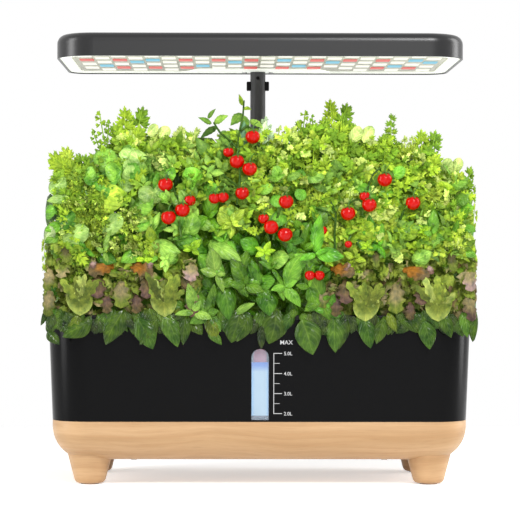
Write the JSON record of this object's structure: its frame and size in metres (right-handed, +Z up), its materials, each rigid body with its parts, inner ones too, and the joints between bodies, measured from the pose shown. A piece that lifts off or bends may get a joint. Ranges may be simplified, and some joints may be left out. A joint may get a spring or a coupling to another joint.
{
  "type": "countertop hydroponic garden",
  "caption": "Countertop planter: tapered water tank on a wood-grain base with legs, lift-off planted grow deck with a circulation pump, and a grow light panel on a telescopic pole.",
  "frame": {"origin": "on the counter, under the middle of the garden's overall width and depth", "axes": "+Z up, +X to the garden's right seen from the front, +Y from the sight window to the rear"},
  "size_m": [0.41, 0.2, 0.4263],
  "materials": {
    "oak_print_abs": "moulded ABS with a satin oak-grain transfer print",
    "black_abs": "moulded black ABS, satin",
    "black_pp": "moulded black polypropylene, fine grain",
    "black_aluminium": "drawn tube, black anodised",
    "clear_pc": "moulded clear polycarbonate, polished",
    "pink_float": "moulded foamed polypropylene, pink",
    "white_pc": "moulded white polycarbonate",
    "diffuser_pmma": "extruded frosted acrylic sheet",
    "white_light": "frosted white light pad, lit",
    "red_light": "frosted red light pad, lit",
    "blue_light": "frosted blue light pad, lit",
    "circuit_board": "glass-epoxy board, white solder mask",
    "steel": "zinc-plated steel",
    "silicone": "moulded silicone rubber",
    "pvc_lead": "extruded black PVC",
    "peat_sponge": "pressed peat and latex growing sponge",
    "filter_foam": "open-cell black foam",
    "lettuce_leaf": "living oak-leaf lettuce, green hearts and brown-purple tips",
    "basil_leaf": "living basil leaves, glossy and blistered",
    "parsley_leaf": "living parsley and celery leaves, yellow-green",
    "spinach_leaf": "living spinach leaves",
    "plant_stem": "living green stems",
    "tomato_plant": "living cherry tomato plants with red fruit"
  },
  "bodies": {
    "tank": {"base_tray": "oak_print_abs", "foot_pads": "silicone", "base_screws": "steel", "water_tank": "black_abs", "sight_window": "clear_pc", "window_seal": "silicone", "float_guide": "clear_pc"},
    "float": {"level_float": "pink_float"},
    "deck": {"grow_deck": "black_pp", "deck_seal": "silicone", "front_baskets": "black_pp", "rear_baskets": "black_pp", "grow_sponges": "peat_sponge", "hinge_pin": "steel", "mast_console": "black_abs", "console_screws": "steel", "dc_inlet": "black_abs", "control_board": "circuit_board", "pole_outer": "black_aluminium", "pole_collar": "black_abs", "pump_body": "black_abs", "pump_shaft": "steel", "pump_cover": "black_abs", "pump_filter": "filter_foam", "riser_tube": "silicone", "pump_lead": "pvc_lead", "plant_stems": "plant_stem", "lettuce_plants": "lettuce_leaf", "basil_plants": "basil_leaf", "hanging_leaves": "basil_leaf", "parsley_plants": "parsley_leaf", "spinach_plant": "spinach_leaf", "tomato_plants": "tomato_plant"},
    "flap": {"fill_flap": "black_abs"},
    "impeller": {"pump_impeller": "black_pp"},
    "lamp": {"pole_inner": "black_aluminium", "pole_bush": "black_pp", "pole_socket": "black_abs", "socket_screws": "steel", "lamp_housing": "black_abs", "light_tray": "white_pc", "lamp_lens": "diffuser_pmma", "white_light_pads": "white_light", "red_light_pads": "red_light", "blue_light_pads": "blue_light", "led_board": "circuit_board", "driver_board": "circuit_board", "tab_spring": "steel"},
    "tab_left": {"release_tab_left": "black_abs"},
    "tab_right": {"release_tab_right": "black_abs"},
    "power": {"power_button": "black_abs"},
    "mode": {"mode_button": "black_abs"}
  },
  "joints": [
    {"name": "float_level", "type": "slide", "parent": "tank", "child": "float", "axis": [0, -0.0384, 0.9993], "range_m": [-0.045, 0]},
    {"name": "deck_lift", "type": "slide", "parent": "tank", "child": "deck", "axis": [0, 0, 1], "range_m": [0, 0.08]},
    {"name": "flap_hinge", "type": "hinge", "parent": "deck", "child": "flap", "pos_m": [0.12, 0.092, 0.1619], "axis": [-1, 0, 0], "range_deg": [0, 100]},
    {"name": "impeller_spin", "type": "hinge", "parent": "deck", "child": "impeller", "pos_m": [0.064, -0.039, 0.049], "axis": [0, -1, 0], "continuous": true},
    {"name": "lamp_height", "type": "slide", "parent": "deck", "child": "lamp", "axis": [0, 0, 1], "range_m": [-0.018, 0.1]},
    {"name": "left_tab_squeeze", "type": "slide", "parent": "lamp", "child": "tab_left", "axis": [1, 0, 0], "range_m": [0, 0.0015], "stiffness_N_per_m": 400, "springref_m": -0.001},
    {"name": "right_tab_squeeze", "type": "slide", "parent": "lamp", "child": "tab_right", "axis": [-1, 0, 0], "range_m": [0, 0.0015], "stiffness_N_per_m": 400, "springref_m": -0.001},
    {"name": "power_press", "type": "slide", "parent": "lamp", "child": "power", "axis": [0, 0, -1], "range_m": [0, 0.0008], "stiffness_N_per_m": 600, "springref_m": -0.0005},
    {"name": "mode_press", "type": "slide", "parent": "lamp", "child": "mode", "axis": [0, 0, -1], "range_m": [0, 0.0008], "stiffness_N_per_m": 600, "springref_m": -0.0005}
  ]
}
